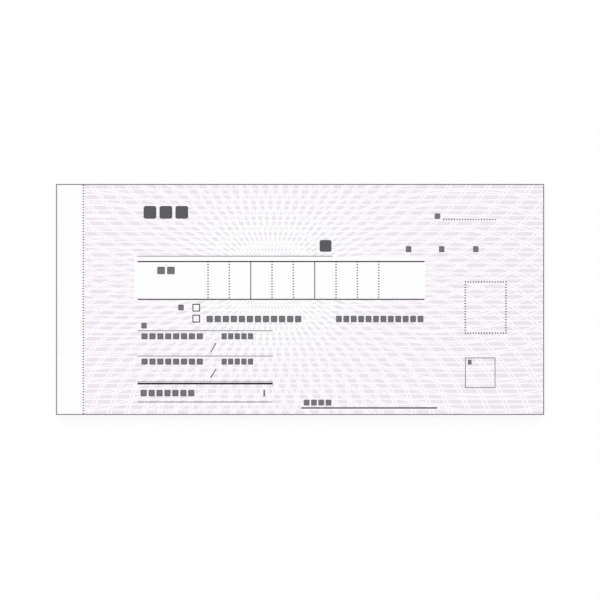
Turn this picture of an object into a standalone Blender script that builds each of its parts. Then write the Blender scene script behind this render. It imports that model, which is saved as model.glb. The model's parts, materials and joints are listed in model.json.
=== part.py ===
"""Receipt book: carbonless triplicate sets, glued at the left edge into a wrap-around card cover.

Metres, +Z up. The book lies face up, ready to write on, with its cover folded round underneath.
+X runs along the form from the spine to the free edge, and +Y runs up the form. The origin is under
the middle of the book, on the surface that it lies on.
"""

import bmesh
import bpy
from mathutils import Vector

# Paper
FORM_HEIGHT = 0.0840
FORM_WIDTH = 0.16765            # tear-off part, from the perforation to the free edge
STUB_WIDTH = 0.0090             # bound part, from the glued edge to the perforation
PLY_THICKNESS = 0.000055
PLIES_PER_SET = 3
SET_COUNT = 40
LEAF_GAP = 0.000015             # air between neighbouring leaves
TURN_CLEARANCE = 0.00005        # turning line of the leaves above the top leaf

# Perforation: a row of cuts with ties of paper between them
PERFORATION_GAP = 0.00006       # parting line through the ties
CUT_PITCH_NEAR = 0.00099        # evened out to a whole number of cuts
CUT_DEPTH = 0.00013             # of a cut into each side of the parting line
TIE_LENGTH = 0.0005

# Loose card under the first set
SHIELD_THICKNESS = 0.0003
SHIELD_BACKSET = 0.0060         # from the perforation to the near edge of the shield
SHIELD_MARGIN = 0.0015          # from the other three edges of the sheet
SHIELD_CORNER_RADIUS = 0.0040
SHIELD_CORNER_STEPS = 6

# Binding
BOARD_THICKNESS = 0.0006
GLUE_THICKNESS = 0.0002
CARD_THICKNESS = 0.00028
SEAT_GAP = 0.00002              # between pieces that are stuck to each other
FOLD_GAP = 0.00015              # between the folded cover and the panel that it lies against
CREASE_GAP = 0.0001             # between two panels of card at their crease
COVER_CLEARANCE = 0.0001        # closed cover above the top sheet

# Places along X, from the outer face of the folded cover to the free edge
BOOK_WIDTH = 2 * CARD_THICKNESS + FOLD_GAP + GLUE_THICKNESS + 2 * SEAT_GAP + STUB_WIDTH + FORM_WIDTH
STRIP_LEFT = -BOOK_WIDTH / 2
STRIP_RIGHT = STRIP_LEFT + CARD_THICKNESS
SPINE_LEFT = STRIP_RIGHT + FOLD_GAP
SPINE_RIGHT = SPINE_LEFT + CARD_THICKNESS
GLUE_LEFT = SPINE_RIGHT + SEAT_GAP
GLUE_RIGHT = GLUE_LEFT + GLUE_THICKNESS
PAPER_LEFT = GLUE_RIGHT + SEAT_GAP
PERFORATION = PAPER_LEFT + STUB_WIDTH
STUB_RIGHT = PERFORATION - PERFORATION_GAP / 2
FORM_LEFT = PERFORATION + PERFORATION_GAP / 2
FREE_EDGE = PERFORATION + FORM_WIDTH

# Places along Y
FORM_FOOT = -FORM_HEIGHT / 2
FORM_HEAD = FORM_HEIGHT / 2
CUT_COUNT = round(FORM_HEIGHT / CUT_PITCH_NEAR)
CUT_PITCH = FORM_HEIGHT / CUT_COUNT

# Heights, from the surface that the book lies on
SET_THICKNESS = PLIES_PER_SET * PLY_THICKNESS + (PLIES_PER_SET - 1) * LEAF_GAP
SET_PITCH = SET_THICKNESS + LEAF_GAP
PLY_PITCH = PLY_THICKNESS + LEAF_GAP
PANEL_TOP = CARD_THICKNESS
BACK_BOTTOM = PANEL_TOP + FOLD_GAP
BACK_TOP = BACK_BOTTOM + CARD_THICKNESS
BOARD_BOTTOM = BACK_TOP + SEAT_GAP
BOARD_TOP = BOARD_BOTTOM + BOARD_THICKNESS
BLOCK_BOTTOM = BOARD_TOP + LEAF_GAP
NEXT_SET = 2
NEXT_SET_TOP = BLOCK_BOTTOM + (SET_COUNT - 1) * SET_PITCH - LEAF_GAP
FIRST_STUB_BOTTOM = NEXT_SET_TOP + LEAF_GAP
FIRST_STUB_TOP = FIRST_STUB_BOTTOM + SET_THICKNESS
SHIELD_BOTTOM = NEXT_SET_TOP + LEAF_GAP
SHIELD_TOP = SHIELD_BOTTOM + SHIELD_THICKNESS
FIRST_FORM_BOTTOM = SHIELD_TOP + LEAF_GAP
FIRST_FORM_TOP = FIRST_FORM_BOTTOM + SET_THICKNESS

# Turning lines, all along Y
LEAF_AXIS = Vector((PERFORATION, 0.0, FIRST_FORM_TOP + TURN_CLEARANCE))
FOLD_AXIS = Vector((STRIP_LEFT, 0.0, FIRST_FORM_TOP + COVER_CLEARANCE))
CREASE_AXIS = Vector((STRIP_RIGHT, 0.0, PANEL_TOP))
STRIP_WIDTH = FOLD_AXIS.z - CREASE_AXIS.z
PANEL_WIDTH = BOOK_WIDTH - STRIP_WIDTH - CREASE_GAP / 2


def clear_scene():
    for item in list(bpy.data.objects):
        bpy.data.objects.remove(item, do_unlink=True)


def make_collection(name):
    collection = bpy.data.collections.new(name)
    bpy.context.scene.collection.children.link(collection)
    return collection


def make_material(name, color, roughness):
    material = bpy.data.materials.new(name)
    material.use_nodes = True
    shader = material.node_tree.nodes["Principled BSDF"]
    shader.inputs["Base Color"].default_value = (*color, 1.0)
    shader.inputs["Roughness"].default_value = roughness
    shader.inputs["Metallic"].default_value = 0.0
    return material


def add_axis(name, place, parent=None):
    """An empty on a turning line, which carries what turns about it."""
    axis = bpy.data.objects.new(name, None)
    axis.empty_display_size = FORM_HEIGHT / 2
    book.objects.link(axis)
    attach(axis, place, parent)
    return axis


def attach(item, place, parent):
    """Put an object at a place in the world, under a parent that isn't turned."""
    origin = Vector()
    step = parent
    while step:
        origin += step.location
        step = step.parent
    item.parent = parent
    item.location = place - origin


def add_plate(name, x_span, z_span, material, parent=None, y_inset=0.0, corner_radius=0.0):
    """A flat piece of paper, card, board or glue, centred along Y."""
    low = Vector((x_span[0], FORM_FOOT + y_inset, z_span[0]))
    high = Vector((x_span[1], FORM_HEAD - y_inset, z_span[1]))
    shape = bmesh.new()
    bmesh.ops.create_cube(shape, size=1.0)
    bmesh.ops.scale(shape, vec=high - low, verts=shape.verts)
    if corner_radius:
        upright = [edge for edge in shape.edges if edge.verts[0].co.xy == edge.verts[1].co.xy]
        bmesh.ops.bevel(shape, geom=upright, offset=corner_radius, segments=SHIELD_CORNER_STEPS,
                        affect="EDGES", profile=0.5, clamp_overlap=True)
    mesh = bpy.data.meshes.new(name)
    shape.to_mesh(mesh)
    shape.free()
    mesh.materials.append(material)
    plate = bpy.data.objects.new(name, mesh)
    book.objects.link(plate)
    attach(plate, (low + high) / 2, parent)
    return plate


def perforated_edge(tie_x, into):
    """Points up the parting line from foot to head, stepping in at each cut; into is 1 or -1 along X."""
    cut_x = tie_x + into * CUT_DEPTH
    points = [(tie_x, FORM_FOOT)]
    for number in range(CUT_COUNT):
        start = FORM_FOOT + number * CUT_PITCH + TIE_LENGTH / 2
        end = start + CUT_PITCH - TIE_LENGTH
        points += [(tie_x, start), (cut_x, start), (cut_x, end), (tie_x, end)]
    points.append((tie_x, FORM_HEAD))
    return points


def add_ply(name, straight_x, parted_x, z_span, material, parent=None):
    """A single leaf with one straight edge and one perforated edge."""
    middle = Vector(((straight_x + parted_x) / 2, 0.0, sum(z_span) / 2))
    into = 1 if straight_x > parted_x else -1
    outline = perforated_edge(parted_x, into)
    outline += [(straight_x, FORM_HEAD), (straight_x, FORM_FOOT)]
    curve = bpy.data.curves.new(name, "CURVE")
    curve.dimensions = "2D"
    curve.fill_mode = "BOTH"
    curve.extrude = (z_span[1] - z_span[0]) / 2
    spline = curve.splines.new("POLY")
    spline.points.add(len(outline) - 1)
    for point, (x, y) in zip(spline.points, outline):
        point.co = (x - middle.x, y, 0.0, 1.0)
    spline.use_cyclic_u = True
    curve.materials.append(material)
    ply = bpy.data.objects.new(name, curve)
    book.objects.link(ply)
    attach(ply, middle, parent)
    return ply


def add_cover():
    """One wrapped card: back and spine are glued down, the strip and the front panel turn at creases."""
    add_plate("back_cover", (SPINE_RIGHT + SEAT_GAP, FREE_EDGE), (BACK_BOTTOM, BACK_TOP), cover_card)
    add_plate("cover_spine", (SPINE_LEFT, SPINE_RIGHT), (BACK_BOTTOM, FIRST_STUB_TOP), cover_card)
    fold = add_axis("cover_fold_axis", FOLD_AXIS)
    strip_span = (CREASE_AXIS.z + CREASE_GAP / 2, FOLD_AXIS.z - CREASE_GAP / 2)
    add_plate("cover_hinge_strip", (STRIP_LEFT, STRIP_RIGHT), strip_span, cover_card, fold)
    crease = add_axis("cover_turn_axis", CREASE_AXIS, fold)
    panel_left = CREASE_AXIS.x + CREASE_GAP / 2
    add_plate("front_cover", (panel_left, panel_left + PANEL_WIDTH), (0.0, PANEL_TOP), cover_card, crease)


def add_binding():
    add_plate("backing_board", (PAPER_LEFT, FREE_EDGE), (BOARD_BOTTOM, BOARD_TOP), grey_board)
    add_plate("spine_glue", (GLUE_LEFT, GLUE_RIGHT), (BOARD_BOTTOM, FIRST_STUB_TOP), padding_glue)


def add_lower_sets():
    """The sets that wait below the next one, each of three plies still joined to its stub."""
    for number in range(NEXT_SET + 1, SET_COUNT + 1):
        bottom = BLOCK_BOTTOM + (SET_COUNT - number) * SET_PITCH
        span = (bottom, bottom + SET_THICKNESS)
        add_plate(f"set_{number:02d}", (PAPER_LEFT, FREE_EDGE), span, set_paper)


def add_next_set():
    """The set under the shield, which turns up at its perforation."""
    axis = add_axis("next_set_axis", LEAF_AXIS)
    span = (NEXT_SET_TOP - SET_THICKNESS, NEXT_SET_TOP)
    add_plate(f"set_{NEXT_SET:02d}_stub", (PAPER_LEFT, STUB_RIGHT), span, set_paper)
    add_plate(f"set_{NEXT_SET:02d}_sheets", (FORM_LEFT, FREE_EDGE), span, set_paper, axis)
    return axis


def add_shield(parent):
    left = PERFORATION + SHIELD_BACKSET
    right = FREE_EDGE - SHIELD_MARGIN
    add_plate("writing_shield", (left, right), (SHIELD_BOTTOM, SHIELD_TOP), shield_card, parent,
              y_inset=SHIELD_MARGIN, corner_radius=SHIELD_CORNER_RADIUS)


def add_first_set(parent):
    """Slip, copy and receipt from the bottom up: each ply turns on the one below, all about one line."""
    plies = (("slip", slip_paper), ("copy", copy_paper), ("receipt", receipt_paper))
    for layer, (name, paper) in enumerate(plies):
        stub_bottom = FIRST_STUB_BOTTOM + layer * PLY_PITCH
        form_bottom = FIRST_FORM_BOTTOM + layer * PLY_PITCH
        stub_span = (stub_bottom, stub_bottom + PLY_THICKNESS)
        form_span = (form_bottom, form_bottom + PLY_THICKNESS)
        add_ply(f"{name}_stub", PAPER_LEFT, STUB_RIGHT, stub_span, paper)
        parent = add_axis(f"{name}_axis", LEAF_AXIS, parent)
        add_ply(f"{name}_sheet", FREE_EDGE, FORM_LEFT, form_span, paper, parent)


clear_scene()
book = make_collection("receipt_book")
receipt_paper = make_material("receipt_paper", (0.90, 0.86, 0.92), 0.85)
copy_paper = make_material("copy_paper", (0.84, 0.89, 0.93), 0.85)
slip_paper = make_material("slip_paper", (0.93, 0.84, 0.86), 0.85)
set_paper = make_material("set_paper", (0.92, 0.91, 0.92), 0.85)
shield_card = make_material("shield_card", (0.67, 0.58, 0.41), 0.7)
grey_board = make_material("grey_board", (0.42, 0.40, 0.37), 0.95)
padding_glue = make_material("padding_glue", (0.88, 0.87, 0.82), 0.45)
cover_card = make_material("cover_card", (0.17, 0.26, 0.35), 0.55)

add_cover()
add_binding()
add_lower_sets()
next_set = add_next_set()
add_shield(next_set)
add_first_set(next_set)
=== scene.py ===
import json
import math

import bpy
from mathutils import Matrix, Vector

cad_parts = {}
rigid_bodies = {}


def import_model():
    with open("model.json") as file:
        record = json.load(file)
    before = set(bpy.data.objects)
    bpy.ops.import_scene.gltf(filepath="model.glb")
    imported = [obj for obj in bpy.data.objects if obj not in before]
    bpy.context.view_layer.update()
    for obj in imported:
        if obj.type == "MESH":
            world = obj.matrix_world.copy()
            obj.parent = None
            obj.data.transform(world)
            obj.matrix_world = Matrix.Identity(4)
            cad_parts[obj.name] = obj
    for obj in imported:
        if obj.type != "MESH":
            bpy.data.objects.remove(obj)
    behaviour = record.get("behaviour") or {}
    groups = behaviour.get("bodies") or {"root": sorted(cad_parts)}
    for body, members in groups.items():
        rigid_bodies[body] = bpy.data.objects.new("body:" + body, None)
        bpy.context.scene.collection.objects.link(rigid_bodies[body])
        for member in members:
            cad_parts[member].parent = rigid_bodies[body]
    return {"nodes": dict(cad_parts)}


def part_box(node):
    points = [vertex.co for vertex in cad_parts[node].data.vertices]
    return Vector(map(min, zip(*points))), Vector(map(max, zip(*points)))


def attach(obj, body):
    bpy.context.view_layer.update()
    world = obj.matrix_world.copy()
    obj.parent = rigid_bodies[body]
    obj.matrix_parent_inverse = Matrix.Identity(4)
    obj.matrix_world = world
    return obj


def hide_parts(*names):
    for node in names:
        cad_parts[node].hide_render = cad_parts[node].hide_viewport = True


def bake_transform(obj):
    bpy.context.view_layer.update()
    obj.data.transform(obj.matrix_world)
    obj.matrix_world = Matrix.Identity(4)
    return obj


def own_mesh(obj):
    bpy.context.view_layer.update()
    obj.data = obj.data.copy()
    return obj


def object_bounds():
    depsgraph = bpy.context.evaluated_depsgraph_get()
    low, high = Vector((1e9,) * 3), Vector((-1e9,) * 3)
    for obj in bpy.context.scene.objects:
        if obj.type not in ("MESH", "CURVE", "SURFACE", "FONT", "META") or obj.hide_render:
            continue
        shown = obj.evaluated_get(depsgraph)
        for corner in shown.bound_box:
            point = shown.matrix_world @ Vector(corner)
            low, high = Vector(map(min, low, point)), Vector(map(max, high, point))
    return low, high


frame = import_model()
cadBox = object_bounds()
nodes = frame["nodes"]
mm = 0.001
tol = 0.001 * mm
smoothAngle = math.radians(35)
sheetSides = dict(offset=-1, material_offset=1, material_offset_rim=2)  # finishes: face, back, rim


# small tools for working by hand in edit mode

def takeUp(piece):
    if bpy.context.object and bpy.context.object.mode != "OBJECT":
        bpy.ops.object.mode_set(mode="OBJECT")
    bpy.ops.object.select_all(action="DESELECT")
    piece.select_set(True)
    bpy.context.view_layer.objects.active = piece


def letGo():
    if bpy.context.object and bpy.context.object.mode != "OBJECT":
        bpy.ops.object.mode_set(mode="OBJECT")
    bpy.ops.object.select_all(action="DESELECT")


def pick(piece, kind, test):  # leaves the piece in edit mode with what passes the test selected
    takeUp(piece)
    bpy.ops.object.mode_set(mode="EDIT")
    bpy.ops.mesh.select_mode(type=kind)
    bpy.ops.mesh.select_all(action="DESELECT")
    bpy.ops.object.mode_set(mode="OBJECT")
    mesh = piece.data
    if kind == "VERT":
        for vert in mesh.vertices:
            vert.select = test(vert.co)
    elif kind == "EDGE":
        for edge in mesh.edges:
            edge.select = test(*[mesh.vertices[i].co for i in edge.vertices])
    else:
        for face in mesh.polygons:
            face.select = test(face.center, face.normal)
    bpy.ops.object.mode_set(mode="EDIT")


def pullOut(step):  # extrudes what is selected
    bpy.ops.mesh.extrude_region_move(TRANSFORM_OT_translate={"value": step})


def finishWith(piece, kind, **values):
    takeUp(piece)
    modifier = piece.modifiers.new(kind.lower(), kind)
    for key, value in values.items():
        setattr(modifier, key, value)
    bpy.ops.object.modifier_apply(modifier=modifier.name)


def startPlane(name, x0, y0, x1, y1, z):  # a plane between two corners, its place in the mesh
    letGo()
    bpy.ops.mesh.primitive_plane_add(size=1, location=((x0 + x1) / 2, (y0 + y1) / 2, z))
    piece = bpy.context.object
    piece.name = piece.data.name = name
    piece.scale = (abs(x1 - x0), abs(y1 - y0), 1)
    bpy.ops.object.transform_apply(location=True, rotation=True, scale=True)
    return piece


def turnFaces(piece, sample, direction):  # all faces the same way round, set by one sample face
    takeUp(piece)
    bpy.ops.object.mode_set(mode="EDIT")
    bpy.ops.mesh.select_all(action="SELECT")
    bpy.ops.mesh.normals_make_consistent(inside=False)
    bpy.ops.object.mode_set(mode="OBJECT")
    face = min(piece.data.polygons, key=lambda f: (f.center - Vector(sample)).length)
    if face.normal.dot(Vector(direction)) < 0:
        bpy.ops.object.mode_set(mode="EDIT")
        bpy.ops.mesh.select_all(action="SELECT")
        bpy.ops.mesh.flip_normals()
        bpy.ops.object.mode_set(mode="OBJECT")


def partOff(piece, name, test):  # separates the faces that pass the test into a piece of their own
    pick(piece, "FACE", test)
    before = set(bpy.data.objects)
    bpy.ops.mesh.separate(type="SELECTED")
    bpy.ops.object.mode_set(mode="OBJECT")
    part = [o for o in bpy.data.objects if o not in before][0]
    part.name = part.data.name = name
    return part


def joinUp(pieces, name):
    takeUp(pieces[0])
    for piece in pieces[1:]:
        piece.select_set(True)
    bpy.ops.object.join()
    piece = bpy.context.object
    piece.name = piece.data.name = name
    return piece


def copyOf(piece, name, shift):
    takeUp(piece)
    bpy.ops.object.duplicate(linked=False)
    twin = bpy.context.object
    twin.name = twin.data.name = name
    bpy.ops.transform.translate(value=shift)
    bpy.ops.object.transform_apply(location=True, rotation=True, scale=True)
    return twin


def dress(piece, *finishes):
    piece.data.materials.clear()
    for finish in finishes:
        piece.data.materials.append(finish)


# node tools

def newFinish(name, roughness):
    finish = bpy.data.materials.new(name)
    finish.use_nodes = True
    shader = finish.node_tree.nodes["Principled BSDF"]
    shader.inputs["Roughness"].default_value = roughness
    return finish, finish.node_tree, shader


def put(tree, socket, value):
    if isinstance(value, bpy.types.NodeSocket):
        tree.links.new(value, socket)
    else:
        socket.default_value = value


def maths(tree, operation, *values):
    node = tree.nodes.new("ShaderNodeMath")
    node.operation = operation
    for socket, value in zip(node.inputs, values):
        put(tree, socket, value)
    return node.outputs[0]


def ramp(tree, value, low, high, toLow=0.0, toHigh=1.0):  # smooth step between two values
    node = tree.nodes.new("ShaderNodeMapRange")
    node.interpolation_type = "SMOOTHSTEP"
    for key, number in zip(("Value", "From Min", "From Max", "To Min", "To Max"),
                           (value, low, high, toLow, toHigh)):
        put(tree, node.inputs[key], number)
    return node.outputs[0]


def blendColours(tree, factor, first, second, mode="MIX"):
    node = tree.nodes.new("ShaderNodeMix")
    node.data_type = "RGBA"
    node.blend_type = mode
    put(tree, node.inputs[0], factor)
    for socket, value in ((node.inputs[6], first), (node.inputs[7], second)):
        put(tree, socket, value if isinstance(value, bpy.types.NodeSocket) else (*value, 1))
    return node.outputs[2]


def places(tree):  # object coordinates: the vector and its x, y, z
    spot = tree.nodes.new("ShaderNodeTexCoord").outputs["Object"]
    split = tree.nodes.new("ShaderNodeSeparateXYZ")
    tree.links.new(spot, split.inputs[0])
    return spot, split.outputs[0], split.outputs[1], split.outputs[2]


def centred(tree, spot, location, scale):
    node = tree.nodes.new("ShaderNodeMapping")
    tree.links.new(spot, node.inputs["Vector"])
    node.inputs["Location"].default_value = location
    node.inputs["Scale"].default_value = scale
    return node.outputs[0]


def grain(tree, spot, scale, detail=3.0, stretch=None):
    node = tree.nodes.new("ShaderNodeTexNoise")
    tree.links.new(centred(tree, spot, (0, 0, 0), stretch) if stretch else spot, node.inputs["Vector"])
    node.inputs["Scale"].default_value = scale
    node.inputs["Detail"].default_value = detail
    return node.outputs["Fac"]


def relief(tree, shader, height, strength, distance):
    node = tree.nodes.new("ShaderNodeBump")
    tree.links.new(height, node.inputs["Height"])
    node.inputs["Strength"].default_value = strength
    node.inputs["Distance"].default_value = distance
    tree.links.new(node.outputs[0], shader.inputs["Normal"])


# paper: fibres, the printed security tint and the hairline round the form

paper = dict(
    white=(0.962, 0.962, 0.964), flock=(0.948, 0.948, 0.952), flockRange=(0.12, 0.42),
    fibre=dict(scale=7000.0, detail=4.0, stretch=(1.0, 0.45, 1.0)), lift=0.12, liftDepth=0.02 * mm,
    cloud=dict(scale=260.0, detail=3.0), cloudRange=(0.3, 0.7), roughness=0.88, roughSpread=0.05,
    hairline=0.31 * mm, hairSoft=0.02 * mm, hairInk=(0.088, 0.085, 0.093),
    # the cut keys place a painted shade in and round the perforation's cuts
    halfHeight=42.0 * mm, freeEdge=88.8 * mm, cuts=85, cutShadeColour=(0.03, 0.03, 0.033),
    cutMiddle=-78.83 * mm, cutHalf=0.34 * mm, cutSoft=0.01 * mm, cutFrom=0.365, cutFade=0.01,
)

tint = dict(
    centre=(-10.74 * mm, 7.365 * mm), flatten=1.2586, reach=131.86 * mm, petals=72, phase=-0.092,
    pair=0.0982, lineHalf=0.245 * mm, lineSoft=0.055 * mm, thin=0.48, thinFrom=8.0 * mm, thinTo=56.0 * mm,
    wash=(0.998, 0.959, 1.0), washNear=(1.0, 0.994, 1.0), washFrom=20.0 * mm, washTo=40.0 * mm,
    rowPitch=1.90846 * mm, rowPhase=0.497, rowHalf=0.347, rowSoft=0.035,
    windowLow=(-60.3 * mm, 0.0), windowHigh=(45.5 * mm, 15.3 * mm), windowSoft=0.1 * mm,
    start=-78.3 * mm, startSoft=0.05 * mm,
)


def paperBase(tree, shader, spot):  # faint clouding and fibre, shared by every sheet
    fibre = grain(tree, spot, **paper["fibre"])
    cloud = grain(tree, spot, **paper["cloud"])
    mottle = maths(tree, "MULTIPLY", fibre, cloud)
    smooth, rough = paper["roughness"] - paper["roughSpread"], paper["roughness"] + paper["roughSpread"]
    put(tree, shader.inputs["Roughness"], ramp(tree, cloud, *paper["cloudRange"], smooth, rough))
    relief(tree, shader, fibre, paper["lift"], paper["liftDepth"])
    return blendColours(tree, ramp(tree, mottle, *paper["flockRange"]), paper["flock"], paper["white"])


def hairline(tree, colour, x, y):  # the fine grey line at the trimmed edges
    band, soft = paper["hairline"], paper["hairSoft"]
    side = maths(tree, "SUBTRACT", maths(tree, "ABSOLUTE", y), paper["halfHeight"] - band)
    end = maths(tree, "SUBTRACT", x, paper["freeEdge"] - band)
    edge = ramp(tree, maths(tree, "MAXIMUM", side, end), -soft, soft)
    return blendColours(tree, edge, colour, paper["hairInk"])


def rosetteLines(tree, bearing, bend, span, sign):  # one of the two families of curved double lines
    turn = maths(tree, "MULTIPLY_ADD", bend, sign, bearing)
    count = maths(tree, "MULTIPLY_ADD", turn, tint["petals"] / math.tau, sign * tint["phase"])
    nearest = maths(tree, "PINGPONG", count, 0.5)
    aside = maths(tree, "ABSOLUTE", maths(tree, "SUBTRACT", nearest, tint["pair"]))
    half, soft = tint["lineHalf"] / tint["reach"], tint["lineSoft"] / tint["reach"]
    return ramp(tree, maths(tree, "MULTIPLY", aside, span), half - soft, half + soft)


def cutShade(tree, colour, x, y):  # the painted shade of the perforation: the dark inside the cuts, painted on the paper round and under each cut
    half, soft = paper["cutHalf"], paper["cutSoft"]
    start, fade = paper["cutFrom"], paper["cutFade"]
    aside = maths(tree, "ABSOLUTE", maths(tree, "SUBTRACT", x, paper["cutMiddle"]))
    perMetre = paper["cuts"] / 2 / paper["halfHeight"]
    count = maths(tree, "MULTIPLY_ADD", y, perMetre, paper["cuts"] / 2)
    along = maths(tree, "PINGPONG", count, 0.5)
    cutShadeMask = maths(tree, "MULTIPLY", ramp(tree, aside, half - soft, half + soft, 1.0, 0.0),
                 ramp(tree, along, start - fade, start + fade))
    return blendColours(tree, cutShadeMask, colour, paper["cutShadeColour"])


def plainSheet(name):
    finish, tree, shader = newFinish(name, paper["roughness"])
    spot, x, y = places(tree)[:3]
    colour = cutShade(tree, paperBase(tree, shader, spot), x, y)
    put(tree, shader.inputs["Base Color"], hairline(tree, colour, x, y))
    return finish


def tintedSheet(name, ink):
    finish, tree, shader = newFinish(name, paper["roughness"])
    spot, x, y = places(tree)[:3]
    base = paperBase(tree, shader, spot)
    size = 1.0 / tint["reach"]
    cx, cy = tint["centre"]
    wide = size / tint["flatten"]
    point = centred(tree, spot, (-cx * wide, -cy * size, 0), (wide, size, 0))
    split = tree.nodes.new("ShaderNodeSeparateXYZ")
    tree.links.new(point, split.inputs[0])
    length = tree.nodes.new("ShaderNodeVectorMath")
    length.operation = "LENGTH"
    tree.links.new(point, length.inputs[0])
    radius = length.outputs["Value"]
    bearing = maths(tree, "ARCTAN2", split.outputs[1], split.outputs[0])
    bend = maths(tree, "ARCCOSINE", radius)
    lean = maths(tree, "SQRT", maths(tree, "SUBTRACT", 1.0, maths(tree, "MULTIPLY", radius, radius)))
    apart = maths(tree, "MULTIPLY", maths(tree, "MULTIPLY", radius, lean), math.tau / tint["petals"])
    width = ramp(tree, radius, tint["thinFrom"] * size, tint["thinTo"] * size, tint["thin"], 1.0)
    span = maths(tree, "DIVIDE", apart, width)  # square to the lines, which thin out towards the middle
    lattice = maths(tree, "MULTIPLY", rosetteLines(tree, bearing, bend, span, 1.0),
                    rosetteLines(tree, bearing, bend, span, -1.0))
    count = maths(tree, "MULTIPLY_ADD", y, 1.0 / tint["rowPitch"], tint["rowPhase"])
    row = maths(tree, "PINGPONG", count, 0.5)
    rows = ramp(tree, row, tint["rowHalf"] - tint["rowSoft"], tint["rowHalf"] + tint["rowSoft"], 1.0, 0.0)
    low, high = tint["windowLow"], tint["windowHigh"]
    outside = [maths(tree, "SUBTRACT", low[0], x), maths(tree, "SUBTRACT", x, high[0]),
               maths(tree, "SUBTRACT", low[1], y), maths(tree, "SUBTRACT", y, high[1])]
    window = maths(tree, "MAXIMUM", maths(tree, "MAXIMUM", outside[0], outside[1]),
                   maths(tree, "MAXIMUM", outside[2], outside[3]))
    kept = maths(tree, "MULTIPLY", ramp(tree, window, -tint["windowSoft"], tint["windowSoft"]),
                 ramp(tree, x, tint["start"] - tint["startSoft"], tint["start"] + tint["startSoft"]))
    cover = maths(tree, "MULTIPLY", maths(tree, "MULTIPLY", lattice, rows), kept)
    outward = ramp(tree, radius, tint["washFrom"] * size, tint["washTo"] * size)
    wash = blendColours(tree, outward, tint["washNear"], tint["wash"])
    colour = blendColours(tree, kept, base, wash, "MULTIPLY")
    colour = cutShade(tree, blendColours(tree, cover, colour, ink), x, y)
    put(tree, shader.inputs["Base Color"], hairline(tree, colour, x, y))
    return finish


# painted shade on the trimmed edges: thin lines in the gaps between plies, and bands where sets stand
# unevenly
ply = dict(
    pitch=0.07 * mm, inSet=3, start=1.345 * mm, roughness=0.92, shade=(0.53, 0.515, 0.525), setShade=0.20,
    gapShade=0.50, gapMiddle=0.896, gapShadeRange=(0.02, 0.16),
    knife=0.14, knifeGrain=dict(scale=1.0, detail=2.0, stretch=(2600, 2600, 130)), knifeRange=(0.52, 0.72),
    lift=0.30, unevenShadeGrain=dict(scale=1.0, detail=3.0, stretch=(18, 18, 2400)), unevenShadeRange=(0.46, 0.74),
)


def cutEdge(name):  # trimmed edges: a painted shade line in the gap between plies, sets that differ, painted shade in bands where sets stand unevenly, and the marks of the knife
    finish, tree, shader = newFinish(name, ply["roughness"])
    spot, x, y, z = places(tree)
    base = paperBase(tree, shader, spot)
    count = maths(tree, "MULTIPLY", maths(tree, "SUBTRACT", z, ply["start"]), 1 / ply["pitch"])
    share = maths(tree, "FRACT", count)
    away = maths(tree, "ABSOLUTE", maths(tree, "SUBTRACT", share, ply["gapMiddle"]))
    gapShade = ramp(tree, away, *ply["gapShadeRange"], ply["gapShade"], 0.0)
    chance = tree.nodes.new("ShaderNodeTexWhiteNoise")
    chance.noise_dimensions = "1D"
    put(tree, chance.inputs["W"], maths(tree, "FLOOR", maths(tree, "DIVIDE", count, ply["inSet"])))
    setTone = maths(tree, "MULTIPLY", chance.outputs["Value"], ply["setShade"])
    knife = ramp(tree, grain(tree, spot, **ply["knifeGrain"]), *ply["knifeRange"], 0.0, ply["knife"])
    # painted shade: darker bands along the edge where sets stand unevenly
    lift = ramp(tree, grain(tree, spot, **ply["unevenShadeGrain"]), *ply["unevenShadeRange"], 0.0, ply["lift"])
    dark = maths(tree, "ADD", maths(tree, "ADD", gapShade, setTone), maths(tree, "ADD", knife, lift))
    colour = blendColours(tree, dark, base, ply["shade"])
    put(tree, shader.inputs["Base Color"], cutShade(tree, colour, x, y))
    return finish


inkLook = dict(
    grain=dict(scale=5200.0, detail=3.0), grainRange=(0.35, 0.75), gloss=0.1, roughness=0.6,
    roughRange=(0.5, 0.68),
)


def printInk(name, colour, worn):
    finish, tree, shader = newFinish(name, inkLook["roughness"])
    mottle = ramp(tree, grain(tree, places(tree)[0], **inkLook["grain"]), *inkLook["grainRange"])
    shader.inputs["Specular IOR Level"].default_value = inkLook["gloss"]
    put(tree, shader.inputs["Base Color"], blendColours(tree, mottle, colour, worn))
    put(tree, shader.inputs["Roughness"], ramp(tree, mottle, 0.0, 1.0, *inkLook["roughRange"]))
    return finish


receiptFace = tintedSheet("receipt_tint", (0.809, 0.768, 0.822))
copyFace = tintedSheet("copy_tint", (0.785, 0.835, 0.870))
slipFace = tintedSheet("slip_tint", (0.875, 0.800, 0.820))
sheetBack = plainSheet("sheet_back")
stubPaper = plainSheet("stub_paper")
plyEdge = cutEdge("ply_edge")
darkInk = printInk("dark_ink", (0.011, 0.0105, 0.012), (0.022, 0.021, 0.024))
greyInk = printInk("grey_ink", (0.135, 0.130, 0.142), (0.165, 0.160, 0.172))
labelInk = printInk("label_ink", (0.150, 0.146, 0.156), (0.190, 0.185, 0.197))
headInk = printInk("head_ink", (0.085, 0.082, 0.089), (0.115, 0.111, 0.120))
inks = [darkInk, greyInk, labelInk, headInk]
print("finishes: paper, tint and ink")


# forms: each sheet hangs on its stub by a row of ties and climbs over the writing shield

form = dict(
    tie=0.50 * mm, cutDepth=0.16 * mm, stubEnd=0.03 * mm, loopStep=0.20 * mm, loopParts=3,
    climb=5.5 * mm, climbSteps=9, lastStep=0.4 * mm, thickness=0.055 * mm,
)
chain = ["book", "next_set", "slip", "copy", "receipt"]
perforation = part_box("receipt_stub")[1].x + form["stubEnd"]
foot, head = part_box("receipt_sheet")[0].y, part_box("receipt_sheet")[1].y
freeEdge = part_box("receipt_sheet")[1].x
pitch = (head - foot) / paper["cuts"]


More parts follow.
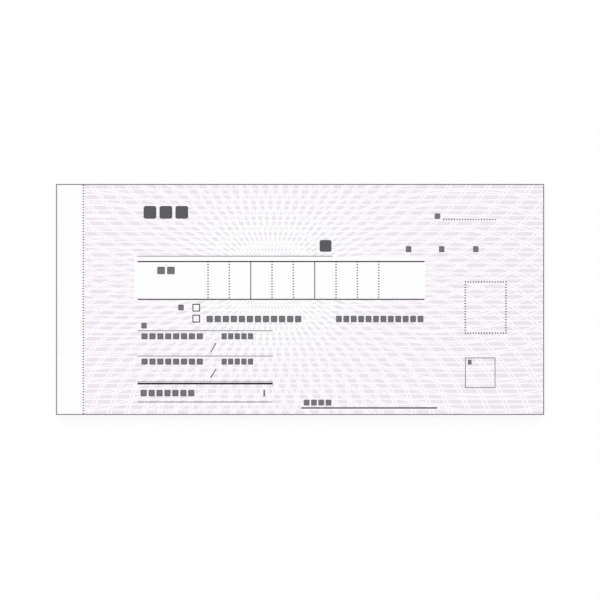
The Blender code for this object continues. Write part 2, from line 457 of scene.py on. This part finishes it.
def combSheet(name, stubTop, sheetTop):  # one surface: ties, the strip beyond them, the climb and the flat
    left, right = perforation + form["cutDepth"], perforation + form["loopStep"]
    piece = startPlane(name, left, foot, right, foot + pitch, stubTop)
    half = form["tie"] / 2
    for cut in (foot + half, foot + pitch - half):
        pick(piece, "FACE", lambda centre, normal: True)
        bpy.ops.mesh.bisect(plane_co=(0, cut, 0), plane_no=(0, 1, 0))

    def tieEnd(a, b):
        middle = (a.y + b.y) / 2 - foot
        inTie = middle < half or middle > pitch - half
        return abs(a.x - left) < tol and abs(b.x - left) < tol and inTie
    pick(piece, "EDGE", tieEnd)
    pullOut((perforation - form["stubEnd"] - left, 0, 0))
    finishWith(piece, "ARRAY", count=paper["cuts"], use_relative_offset=False, use_constant_offset=True,
               constant_offset_displace=(0, pitch, 0), use_merge_vertices=True, merge_threshold=2 * tol)
    pick(piece, "EDGE", lambda a, b: abs(a.x - right) < tol and abs(b.x - right) < tol)
    run = form["loopStep"] / form["loopParts"]
    laterLoops = len(chain) - 2
    steps = [right + run * (i + 1) for i in range(form["loopParts"] * laterLoops)]
    loopEnd = steps[-1]
    top = perforation + form["climb"]
    steps += [loopEnd + (top - loopEnd) * (i + 1) / form["climbSteps"] for i in range(form["climbSteps"])]
    steps += [freeEdge - form["lastStep"], freeEdge]
    x, height = right, stubTop
    for step in steps:
        share = min(max((step - loopEnd) / (top - loopEnd), 0), 1)
        level = stubTop + (sheetTop - stubTop) * share * share * (3 - 2 * share)
        pullOut((step - x, 0, level - height))
        x, height = step, level
    turnFaces(piece, (0, 0, sheetTop), (0, 0, 1))
    return piece


def layForm(name, node, stub, face, thickness, body):
    stubTop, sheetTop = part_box(stub)[1].z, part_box(node)[1].z
    sheet = combSheet(name + "_form", stubTop, sheetTop)
    loops = []
    for i in range(chain.index(body)):
        limit = perforation + form["loopStep"] * (i + 1)
        loops.append(partOff(sheet, "%s_tie_%d" % (name, i + 1), lambda c, n: c.x < limit))
    for piece in [sheet] + loops:
        dress(piece, face, sheetBack, plyEdge if name == "set_02" else sheetBack)
        finishWith(piece, "SOLIDIFY", thickness=thickness, **sheetSides)
    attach(sheet, body)
    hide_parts(node)
    for i, loop in enumerate(loops):
        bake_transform(loop)


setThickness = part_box("set_02_sheets")[1].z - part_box("set_02_sheets")[0].z
for name, face in (("receipt", receiptFace), ("copy", copyFace), ("slip", slipFace)):
    layForm(name, name + "_sheet", name + "_stub", face, form["thickness"], name)
layForm("set_02", "set_02_sheets", "set_02_stub", receiptFace, setThickness, "next_set")
print("forms: four sheets on their ties")


# print on the forms, in millimetres: rules, dotted rules, boxes and plain rounded bars

rules = [  # left, right, height on the form, width, ink: 0 dark, 1 grey, 2 label, 3 heading
    (-59.1, 11.9, 15.75, 0.26, 1), (-59.1, 45.3, 13.80, 0.45, 0), (-59.1, 45.3, 0.06, 0.43, 0),
    (-59.1, -9.9, -11.38, 0.27, 1), (-59.1, -9.9, -20.60, 0.28, 1), (-59.1, -9.9, -29.87, 0.18, 1),
    (-59.1, -9.9, -30.595, 0.67, 0), (-59.1, -9.9, -37.29, 0.28, 1), (0.5, 49.9, -39.47, 0.48, 0),
]
amount = dict(first=-33.46, pitch=7.762, count=9, solid=(2, 5), top=13.57, bottom=0.28, width=0.38,
              lowDot=0.74, highDot=12.63, topDot=13.44)
dots = dict(long=0.36, pitch=0.99, width=0.56)
boxes = [  # left, bottom, right, top, line width, ink
    (60.02, -32.25, 71.09, -21.12, 0.265, 1), (-39.15, -4.4, -36.35, -1.6, 0.36, 0),
    (-39.15, -8.4, -36.35, -5.55, 0.36, 0),
]
stampPlace = dict(left=60.13, right=74.95, top=6.36, bottom=-12.25)
numberLine = dict(left=52.24, right=71.0, height=29.11)
strokes = [(-31.54, -17.55), (-31.54, -26.89)]  # the two slanted strokes of the table
strokeSize = dict(long=3.9, width=0.33, lean=math.radians(59.5))
bars = [  # left, right, height on the form, tall, count
    (-57.5, -40.1, 31.7, 5.4, 3), (6.6, 12.0, 19.5, 5.0, 1), (48.7, 51.3, 30.3, 2.4, 1),
    (-52.3, -45.2, 10.55, 3.2, 2), (-44.6, -42.0, -2.9, 2.5, 1), (-34.3, 0.8, -7.1, 2.8, 12),
    (12.8, 45.2, -7.1, 2.8, 12), (-58.0, -55.5, -9.5, 2.5, 1), (-58.0, -35.0, -13.4, 2.6, 8),
    (-28.8, -16.8, -13.4, 2.6, 5), (-58.0, -35.0, -22.6, 2.6, 8), (-28.8, -16.8, -22.6, 2.6, 5),
    (-58.3, -38.1, -34.05, 2.8, 7), (-13.4, -12.6, -34.05, 2.8, 1), (1.1, 11.7, -37.5, 2.5, 4),
    (60.9, 62.6, -22.8, 2.1, 1), (38.2, 40.8, 18.3, 2.6, 1), (50.3, 52.8, 18.3, 2.6, 1),
    (62.7, 65.2, 18.3, 2.6, 1),
]
barShape = dict(tall=0.86, wide=0.80, corner=0.16, cornerSteps=3, heading=4.0)
inkDepth = 0.010 * mm
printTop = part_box("receipt_sheet")[1].z


def inkPatch(x0, y0, x1, y1, ink):
    piece = startPlane("patch", x0 * mm, y0 * mm, x1 * mm, y1 * mm, printTop)
    dress(piece, *inks)
    piece.data.polygons[0].material_index = ink
    return piece


def dottedRule(x0, y0, x1, y1):  # dots spread evenly, the first and the last centred on the ends
    across = abs(x1 - x0) > abs(y1 - y0)
    length = abs(x1 - x0) if across else abs(y1 - y0)
    half, long = dots["width"] / 2, dots["long"] / 2
    if across:
        dot = inkPatch(x0 - long, y0 - half, x0 + long, y0 + half, 0)
    else:
        dot = inkPatch(x0 - half, y0 - long, x0 + half, y0 + long, 0)
    gaps = max(round(length / dots["pitch"]), 1)
    step = length / gaps * mm
    finishWith(dot, "ARRAY", count=gaps + 1, use_relative_offset=False, use_constant_offset=True,
               constant_offset_displace=(step, 0, 0) if across else (0, step, 0))
    return dot


def lineBox(x0, y0, x1, y1, width, ink):
    box = inkPatch(x0, y0, x1, y1, ink)
    pick(box, "FACE", lambda centre, normal: True)
    bpy.ops.mesh.inset(thickness=width * mm, use_even_offset=True)
    bpy.ops.mesh.delete(type="FACE")
    bpy.ops.object.mode_set(mode="OBJECT")
    return box


def slantStroke(x, y):
    stroke = inkPatch(x - strokeSize["long"] / 2, y - strokeSize["width"] / 2,
                      x + strokeSize["long"] / 2, y + strokeSize["width"] / 2, 0)
    pick(stroke, "VERT", lambda co: True)
    turn = -strokeSize["lean"]  # run without a window, rotate turns the other way
    bpy.ops.transform.rotate(value=turn, orient_axis="Z", center_override=(x * mm, y * mm, printTop))
    bpy.ops.object.mode_set(mode="OBJECT")
    return stroke


def labelBars(left, right, middle, tall, count):
    step = (right - left) / count
    half = tall * barShape["tall"] / 2
    start, end = left + step * (1 - barShape["wide"]) / 2, left + step * (1 + barShape["wide"]) / 2
    bar = inkPatch(start, middle - half, end, middle + half, 3 if tall > barShape["heading"] else 2)
    pick(bar, "VERT", lambda co: True)
    corner = min(half * 2, step * barShape["wide"]) * barShape["corner"] * mm
    bpy.ops.mesh.bevel(offset=corner, segments=barShape["cornerSteps"], affect="VERTICES")
    bpy.ops.object.mode_set(mode="OBJECT")
    finishWith(bar, "ARRAY", count=count, use_relative_offset=False, use_constant_offset=True,
               constant_offset_displace=(step * mm, 0, 0))
    return bar


def printForm():
    patches = [inkPatch(x0, y - w / 2, x1, y + w / 2, ink) for x0, x1, y, w, ink in rules]
    for i in range(amount["count"]):
        x = amount["first"] + amount["pitch"] * i
        half = amount["width"] / 2
        if i in amount["solid"]:
            patches.append(inkPatch(x - half, amount["bottom"], x + half, amount["top"], 1))
        else:
            side = dots["width"] / 2
            patches += [dottedRule(x, amount["lowDot"], x, amount["highDot"]),
                        inkPatch(x - side, amount["topDot"], x + side, amount["top"], 0)]  # meets the rule
    patches += [lineBox(*box) for box in boxes]
    s = stampPlace
    patches += [dottedRule(s["left"], s["top"], s["right"], s["top"]),
                dottedRule(s["left"], s["bottom"], s["right"], s["bottom"]),
                dottedRule(s["left"], s["bottom"] + dots["pitch"], s["left"], s["top"] - dots["pitch"]),
                dottedRule(s["right"], s["bottom"] + dots["pitch"], s["right"], s["top"] - dots["pitch"])]
    n = numberLine
    patches.append(dottedRule(n["left"], n["height"], n["right"], n["height"]))
    patches += [slantStroke(*place) for place in strokes]
    patches += [labelBars(*bar) for bar in bars]
    piece = joinUp(patches, "receipt_print")
    finishWith(piece, "SOLIDIFY", thickness=inkDepth, offset=1)
    return piece


receiptPrint = printForm()
for name, node, body, slot in (("copy_print", "copy_sheet", "copy", "copy_paper"),
                               ("slip_print", "slip_sheet", "slip", "slip_paper"),
                               ("set_02_print", "set_02_sheets", "next_set", "set_paper"),
                               ("set_03_print", "set_03", "book", "set_paper")):
    twin = copyOf(receiptPrint, name, (0, 0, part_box(node)[1].z - printTop))
    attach(twin, body)
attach(receiptPrint, "receipt")
print("print: %d faces on each form" % len(receiptPrint.data.polygons))


# block: the third set shows its form when the next one is turned up, and the rest keep their solids

def layThirdSet():
    low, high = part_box("set_03")
    piece = startPlane("set_03_form", low.x, low.y, high.x, high.y, high.z)
    dress(piece, receiptFace, sheetBack, plyEdge)
    finishWith(piece, "SOLIDIFY", thickness=high.z - low.z, **sheetSides)
    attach(piece, "book")
    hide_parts("set_03")


layThirdSet()
for name, node in nodes.items():
    if name.endswith("_stub"):
        node.material_slots[0].material = stubPaper if name != "set_02_stub" else plyEdge
    elif name.startswith("set_") and name != "set_02_sheets":
        node.material_slots[0].material = plyEdge
print("block: stubs and sets dressed")


# cover: one strip of card wrapped round the block and folded back under it

card = dict(
    thickness=0.28 * mm, foldCentre=9.69 * mm, foldSteps=10, foldPlay=0.012 * mm, foldLead=0.048 * mm,
    turnRadius=0.30 * mm, turnSteps=6, cornerRadius=0.10 * mm, cornerSteps=4, midLoop=3.5 * mm,
    lining=0.02 * mm, liningGap=0.03 * mm, liningLength=0.9995, flattened=0.02, upward=0.9,
)

innerFace = dict(
    colour=(0.950, 0.948, 0.940), fleck=(0.905, 0.900, 0.885), shadeAndWear=(0.60, 0.59, 0.575),
    grain=dict(scale=2600.0, detail=4.0, stretch=(1, 0.35, 1)), grainRange=(0.35, 0.7),
    lift=0.15, liftDepth=0.03 * mm, cloud=dict(scale=120.0, detail=3.0), cloudRange=(0.3, 0.7),
    roughness=0.8, roughRange=(0.74, 0.86),
    foldLine=0.33 * mm, lineSoft=0.03 * mm, sideSoft=0.02 * mm, foldRange=(-0.1 * mm, 0.05 * mm),
    # the crease keys give a painted shade and rub along the bottom crease of the strip
    creaseShade=0.72 * mm, creaseShadeRange=(0.05 * mm, 0.14 * mm), creaseShadeDark=0.35,
    worn=dict(scale=700.0, detail=4.0), wornRange=(40.6 * mm, 42.0 * mm), wornDark=0.5,
)


def innerCard():
    look = innerFace
    finish, tree, shader = newFinish("cover_inner", look["roughness"])
    spot, x, y, z = places(tree)
    fleck = ramp(tree, grain(tree, spot, **look["grain"]), *look["grainRange"])
    cloud = grain(tree, spot, **look["cloud"])
    colour = blendColours(tree, maths(tree, "MULTIPLY", fleck, cloud), look["colour"], look["fleck"])
    edge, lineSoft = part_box("cover_hinge_strip")[0].x + look["foldLine"], look["lineSoft"]
    onStrip = ramp(tree, x, edge - lineSoft, edge + lineSoft, 1.0, 0.0)
    aside = maths(tree, "ABSOLUTE", y)
    side, sideSoft = paper["halfHeight"] - paper["hairline"], look["sideSoft"]
    rubbed = maths(tree, "MAXIMUM", onStrip, ramp(tree, aside, side - sideSoft, side + sideSoft))
    onFold = ramp(tree, z, *[card["foldCentre"] + step for step in look["foldRange"]])
    # painted shade and rub: a darker line along the bottom crease of the strip, mixed with the wear at the
    # ends
    off = maths(tree, "ABSOLUTE", maths(tree, "SUBTRACT", z, look["creaseShade"]))
    creaseShade = ramp(tree, off, *look["creaseShadeRange"], look["creaseShadeDark"], 0.0)
    worn = maths(tree, "MULTIPLY", ramp(tree, aside, *look["wornRange"], 0.0, look["wornDark"]),
                 grain(tree, spot, **look["worn"]))
    shadedAndWorn = maths(tree, "MAXIMUM", maths(tree, "MULTIPLY", creaseShade, onStrip), worn)
    colour = blendColours(tree, shadedAndWorn, colour, look["shadeAndWear"])
    colour = blendColours(tree, maths(tree, "MULTIPLY", rubbed, onFold), colour, paper["hairInk"])
    put(tree, shader.inputs["Base Color"], colour)
    put(tree, shader.inputs["Roughness"], ramp(tree, cloud, *look["cloudRange"], *look["roughRange"]))
    relief(tree, shader, fleck, look["lift"], look["liftDepth"])
    return finish


outerFace = dict(
    colour=(0.155, 0.235, 0.330), light=(0.190, 0.280, 0.380), cloud=dict(scale=90.0, detail=4.0),
    cloudRange=(0.3, 0.7), pebble=1500.0, pebbleRange=(0.0, 0.22), lift=0.35, liftDepth=0.04 * mm,
    # the groove keys give a painted shade in the grooves of the grain
    grooveShade=(0.09, 0.14, 0.20), grooveShadeRange=(0.0, 0.7), grooveShadeDark=0.35,
    roughness=0.5, roughRange=(0.62, 0.44), panelTop=(0.34 * mm, 0.38 * mm),
    line=(0.560, 0.630, 0.680), lines=((5.0 * mm, 0.45 * mm), (6.3 * mm, 0.18 * mm)), lineSoft=0.03 * mm,
    plate=(0.800, 0.815, 0.815), plateHalf=(40.0 * mm, 11.0 * mm), plateSoft=0.04 * mm,
    rimInset=1.4 * mm, rimRange=(0.12 * mm, 0.17 * mm),
    worn=(0.42, 0.48, 0.54), wornGrain=dict(scale=900.0, detail=4.0), wornShare=(0.45, 0.65),
    wornRange=(41.2 * mm, 42.0 * mm),
)


def outerCard():
    look = outerFace
    finish, tree, shader = newFinish("cover_outer", look["roughness"])
    spot, x, y, z = places(tree)
    cell = tree.nodes.new("ShaderNodeTexVoronoi")
    cell.inputs["Scale"].default_value = look["pebble"]
    cell.feature = "DISTANCE_TO_EDGE"
    tree.links.new(spot, cell.inputs["Vector"])
    pebble = ramp(tree, cell.outputs["Distance"], *look["pebbleRange"])
    cloud = ramp(tree, grain(tree, spot, **look["cloud"]), *look["cloudRange"])
    colour = blendColours(tree, cloud, look["colour"], look["light"])
    # painted shade: darker in the grooves between the pebbles of the grain
    grooveShade = ramp(tree, pebble, *look["grooveShadeRange"], look["grooveShadeDark"], 0.0)
    colour = blendColours(tree, grooveShade, colour, look["grooveShade"])
    low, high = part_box("front_cover")
    along = maths(tree, "ABSOLUTE", maths(tree, "SUBTRACT", x, (low.x + high.x) / 2))
    aside = maths(tree, "ABSOLUTE", y)
    onPanel = ramp(tree, z, *look["panelTop"], 1.0, 0.0)

    def pastRectangle(halfLong, halfTall):  # how far outside a rectangle round the middle of the panel
        return maths(tree, "MAXIMUM", maths(tree, "SUBTRACT", along, halfLong),
                     maths(tree, "SUBTRACT", aside, halfTall))
    lines = []
    for inset, width in look["lines"]:
        off = maths(tree, "ABSOLUTE", pastRectangle((high.x - low.x) / 2 - inset, high.y - inset))
        lines.append(ramp(tree, off, width - look["lineSoft"], width + look["lineSoft"], 1.0, 0.0))
    past = pastRectangle(*look["plateHalf"])
    plate = ramp(tree, past, -look["plateSoft"], look["plateSoft"], 1.0, 0.0)
    offRim = maths(tree, "ABSOLUTE", maths(tree, "ADD", past, look["rimInset"]))
    rim = ramp(tree, offRim, *look["rimRange"], 1.0, 0.0)
    for share, paint in ((maths(tree, "MAXIMUM", *lines), look["line"]), (plate, look["plate"]),
                         (rim, look["colour"])):
        colour = blendColours(tree, maths(tree, "MULTIPLY", share, onPanel), colour, paint)
    rub = maths(tree, "MULTIPLY", ramp(tree, aside, *look["wornRange"]),
                ramp(tree, grain(tree, spot, **look["wornGrain"]), *look["wornShare"]))
    put(tree, shader.inputs["Base Color"], blendColours(tree, rub, colour, look["worn"]))
    put(tree, shader.inputs["Roughness"], ramp(tree, pebble, 0.0, 1.0, *look["roughRange"]))
    relief(tree, shader, pebble, look["lift"], look["liftDepth"])
    return finish


coreFace = dict(
    colour=(0.86, 0.855, 0.84), dark=(0.70, 0.69, 0.67), roughness=0.9, lift=0.3, liftDepth=0.03 * mm,
    grain=dict(scale=6000.0, detail=4.0, stretch=(1, 1, 3)), grainRange=(0.3, 0.75),
)


def coreCard():
    look = coreFace
    finish, tree, shader = newFinish("cover_core", look["roughness"])
    fibre = ramp(tree, grain(tree, places(tree)[0], **look["grain"]), *look["grainRange"])
    put(tree, shader.inputs["Base Color"], blendColours(tree, fibre, look["colour"], look["dark"]))
    relief(tree, shader, fibre, look["lift"], look["liftDepth"])
    return finish


def walk(x, z, points):  # extrudes the selected edge from point to point
    for px, pz in points:
        pullOut((px - x, 0, pz - z))
        x, z = px, pz


def arc(cx, cz, radius, first, last, steps):
    turns = [math.radians(first + (last - first) * (i + 1) / steps) for i in range(steps)]
    return [(cx + radius * math.cos(t), cz + radius * math.sin(t)) for t in turns]


def foldCover():
    strip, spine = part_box("cover_hinge_strip"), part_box("cover_spine")
    back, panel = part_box("back_cover"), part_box("front_cover")
    low, high = panel[0].y, panel[1].y
    turn, thick, play = card["turnRadius"], card["thickness"], card["foldPlay"]
    outX, inX = strip[0].x, spine[1].x  # the faces that show on the strip and on the spine
    foldX, foldR = (outX + inX) / 2, (inX - outX) / 2
    top, base, corner = card["foldCentre"], back[1].z, card["cornerRadius"]
    wrap = startPlane("front_panel", outX + turn, low, panel[1].x, high, panel[0].z)
    pick(wrap, "EDGE", lambda a, b: a.x < 0 and b.x < 0)
    walk(outX + turn, panel[0].z,
         arc(outX + turn, panel[0].z + turn, turn, 270, 180, card["turnSteps"])
         + [(outX, card["midLoop"]), (outX, top), (outX, top + play), (outX, top + card["foldLead"])]
         + arc(foldX, top, foldR, 180, 0, card["foldSteps"])
         + [(inX, card["midLoop"]), (inX, base + corner)]
         + arc(inX + corner, base + corner, corner, 180, 270, card["cornerSteps"])
         + [(0, base), (back[1].x, base)])
    turnFaces(wrap, (0, 0, panel[0].z), (0, 0, -1))
    backPart = partOff(wrap, "cover_back", lambda c, n: c.x > inX - tol and c.z > base - tol)
    fold = partOff(wrap, "fold_crease", lambda c, n: c.z > top)
    stripPart = partOff(wrap, "hinge_strip", lambda c, n: abs(c.x - outX) < tol)
    crease = partOff(wrap, "turn_crease", lambda c, n: c.x < outX + turn and c.z > panel[0].z + tol)
    pick(fold, "FACE", lambda c, n: c.z < top + play)
    bpy.ops.mesh.delete(type="FACE")
    lining = copyOf(fold, "fold_lining", (0, 0, 0))  # the printed face inside the fold
    pick(lining, "VERT", lambda co: True)
    shrink = (foldR - thick) / foldR
    bpy.ops.transform.resize(value=(shrink, card["liningLength"], shrink), center_override=(foldX, 0, top))
    bpy.ops.object.mode_set(mode="OBJECT")
    finishes = innerCard(), outerCard(), coreCard()
    for piece in (wrap, backPart, fold, stripPart, crease):
        dress(piece, *finishes)
        depth = thick - card["liningGap"] if piece is fold else thick
        finishWith(piece, "SOLIDIFY", thickness=depth, use_even_offset=True, **sheetSides)
    dress(lining, finishes[1])
    finishWith(lining, "SOLIDIFY", thickness=card["lining"], offset=1)
    for piece in (backPart, stripPart):  # the print goes on over the edges that meet in the fold
        for face in piece.data.polygons:
            if face.normal.z > card["upward"] and abs(face.center.z - top) < tol:
                face.material_index = 1
    for piece in (wrap, backPart, fold, lining, stripPart, crease):
        takeUp(piece)
        bpy.ops.object.shade_smooth_by_angle(angle=smoothAngle)
    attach(fold, "book")
    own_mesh(fold)
    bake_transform(lining)
    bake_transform(crease)
    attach(wrap, "cover_panel")
    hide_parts("front_cover")
    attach(stripPart, "cover_strip")
    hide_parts("cover_hinge_strip")
    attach(backPart, "book")
    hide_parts("back_cover", "cover_spine")


foldCover()
print("cover: back with spine, strip, panel, turn crease, and fold with its lining")


# writing shield: a loose stiff card with round corners

shield = dict(
    corner=4.0 * mm, cornerSteps=10, edge=0.05 * mm, edgeSteps=2, edgeAngle=math.radians(60),
    colour=(0.700, 0.610, 0.430), fleck=(0.610, 0.510, 0.340), roughness=0.7, roughRange=(0.55, 0.8),
    grain=dict(scale=2400.0, detail=5.0, stretch=(0.3, 1, 1)), grainRange=(0.38, 0.68),
    lift=0.2, liftDepth=0.03 * mm, cloud=dict(scale=150.0, detail=3.0),
)


def shieldCard():
    finish, tree, shader = newFinish("shield_card", shield["roughness"])
    spot = places(tree)[0]
    fibre = ramp(tree, grain(tree, spot, **shield["grain"]), *shield["grainRange"])
    mottle = maths(tree, "MULTIPLY", fibre, grain(tree, spot, **shield["cloud"]))
    put(tree, shader.inputs["Base Color"], blendColours(tree, mottle, shield["colour"], shield["fleck"]))
    put(tree, shader.inputs["Roughness"], ramp(tree, fibre, 0.0, 1.0, *shield["roughRange"]))
    relief(tree, shader, fibre, shield["lift"], shield["liftDepth"])
    return finish


def layShield():
    low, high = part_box("writing_shield")
    piece = startPlane("shield_sheet", low.x, low.y, high.x, high.y, high.z)
    pick(piece, "VERT", lambda co: True)
    bpy.ops.mesh.bevel(offset=shield["corner"], segments=shield["cornerSteps"], affect="VERTICES")
    turnFaces(piece, (0, 0, high.z), (0, 0, 1))
    finishWith(piece, "SOLIDIFY", thickness=high.z - low.z, offset=-1)
    finishWith(piece, "BEVEL", width=shield["edge"], segments=shield["edgeSteps"], limit_method="ANGLE",
               angle_limit=shield["edgeAngle"])
    bpy.ops.object.shade_smooth_by_angle(angle=smoothAngle)
    dress(piece, shieldCard())
    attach(piece, "shield")
    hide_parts("writing_shield")


layShield()
print("shield: laid under the first set")


# backing board and glue keep their solids

board = dict(
    colour=(0.330, 0.315, 0.290), light=(0.460, 0.445, 0.415), dark=(0.190, 0.180, 0.165), roughness=0.95,
    pulp=dict(scale=1300.0, detail=6.0, stretch=(0.6, 1, 4)), pulpRange=(0.3, 0.7), lift=0.4,
    liftDepth=0.06 * mm, fleck=dict(scale=3600.0, detail=3.0), fleckRange=(0.62, 0.72),
)

glue = dict(
    colour=(0.945, 0.942, 0.925), dark=(0.900, 0.895, 0.865), roughness=0.4, roughRange=(0.3, 0.5),
    brush=dict(scale=1.0, detail=3.0, stretch=(900, 240, 3000)), brushRange=(0.3, 0.7), lift=0.3,
    liftDepth=0.04 * mm, topRange=(-0.04 * mm, -0.01 * mm), depth=0.15, depthRadius=(0.0004, 0.0003, 0.0002),
)


def greyBoard():
    finish, tree, shader = newFinish("grey_board", board["roughness"])
    spot = places(tree)[0]
    pulp = grain(tree, spot, **board["pulp"])
    fleck = ramp(tree, grain(tree, spot, **board["fleck"]), *board["fleckRange"])
    colour = blendColours(tree, ramp(tree, pulp, *board["pulpRange"]), board["colour"], board["light"])
    put(tree, shader.inputs["Base Color"], blendColours(tree, fleck, colour, board["dark"]))
    relief(tree, shader, pulp, board["lift"], board["liftDepth"])
    return finish


def padGlue():
    finish, tree, shader = newFinish("pad_glue", glue["roughness"])
    spot, x, y, z = places(tree)
    brush = grain(tree, spot, **glue["brush"])
    colour = blendColours(tree, ramp(tree, brush, *glue["brushRange"]), glue["colour"], glue["dark"])
    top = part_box("spine_glue")[1].z
    onTop = ramp(tree, z, *[top + step for step in glue["topRange"]])
    put(tree, shader.inputs["Base Color"], blendColours(tree, onTop, colour, hairline(tree, colour, x, y)))
    put(tree, shader.inputs["Roughness"], ramp(tree, brush, *glue["brushRange"], *glue["roughRange"]))
    shader.inputs["Subsurface Weight"].default_value = glue["depth"]
    shader.inputs["Subsurface Radius"].default_value = glue["depthRadius"]
    relief(tree, shader, brush, glue["lift"], glue["liftDepth"])
    return finish


nodes["backing_board"].material_slots[0].material = greyBoard()
nodes["spine_glue"].material_slots[0].material = padGlue()
print("board and glue dressed")


# stage, light and camera

studio = dict(
    floorSize=6.0, floorDrop=0.02 * mm, floorColour=(0.97, 0.97, 0.97), floorRoughness=0.9, floorGloss=0.1,
    floorLift=0.79, worldLight=0.60, keyPlace=(-0.20, 0.50, 2.90), keySize=2.4, keyPower=45.3,
    lens=250.0, sensor=36.0, pictureWidth=218.30 * mm, aim=(0.0, -0.19 * mm), clipStart=0.01,
)


def seenRays(tree):  # the rays that show the background itself
    path = tree.nodes.new("ShaderNodeLightPath").outputs
    seen = maths(tree, "MAXIMUM", path["Is Camera Ray"], path["Is Glossy Ray"])
    return maths(tree, "MAXIMUM", seen, path["Is Transmission Ray"])


def layFloor():
    size = studio["floorSize"] / 2
    floor = startPlane("floor", -size, -size, size, size, cadBox[0][2] - studio["floorDrop"])
    finish, tree, shader = newFinish("floor_white", studio["floorRoughness"])
    shader.inputs["Base Color"].default_value = (*studio["floorColour"], 1)
    shader.inputs["Specular IOR Level"].default_value = studio["floorGloss"]
    glow = tree.nodes.new("ShaderNodeEmission")
    mix = tree.nodes.new("ShaderNodeMixShader")
    put(tree, mix.inputs[0], maths(tree, "MULTIPLY", seenRays(tree), studio["floorLift"]))
    tree.links.new(shader.outputs[0], mix.inputs[1])
    tree.links.new(glow.outputs[0], mix.inputs[2])
    tree.links.new(mix.outputs[0], tree.nodes["Material Output"].inputs["Surface"])
    dress(floor, finish)


def lightWorld():
    world = bpy.data.worlds.new("studio")
    bpy.context.scene.world = world
    world.use_nodes = True
    tree = world.node_tree
    back = tree.nodes["Background"]
    back.inputs["Color"].default_value = (1, 1, 1, 1)
    put(tree, back.inputs["Strength"], ramp(tree, seenRays(tree), 0.0, 1.0, studio["worldLight"], 1.0))


def aimAt(thing, target):
    thing.rotation_euler = (Vector(target) - thing.location).to_track_quat("-Z", "Y").to_euler()


def setLights():
    letGo()
    bpy.ops.object.light_add(type="AREA", location=studio["keyPlace"])
    key = bpy.context.object
    key.name = "key_light"
    key.data.size = studio["keySize"]
    key.data.energy = studio["keyPower"]
    aimAt(key, (0, 0, 0))


def setCamera():
    letGo()
    distance = studio["pictureWidth"] * studio["lens"] / studio["sensor"]
    x, y = studio["aim"]
    bpy.ops.object.camera_add(location=(x, y, printTop + distance), rotation=(0, 0, 0))
    camera = bpy.context.object
    camera.data.lens = studio["lens"]
    camera.data.sensor_width = studio["sensor"]
    camera.data.clip_start = studio["clipStart"]
    bpy.context.scene.camera = camera


layFloor()
lightWorld()
setLights()
setCamera()
bpy.context.scene.view_settings.view_transform = "Standard"
print("stage: floor, world, key light and camera")

letGo()
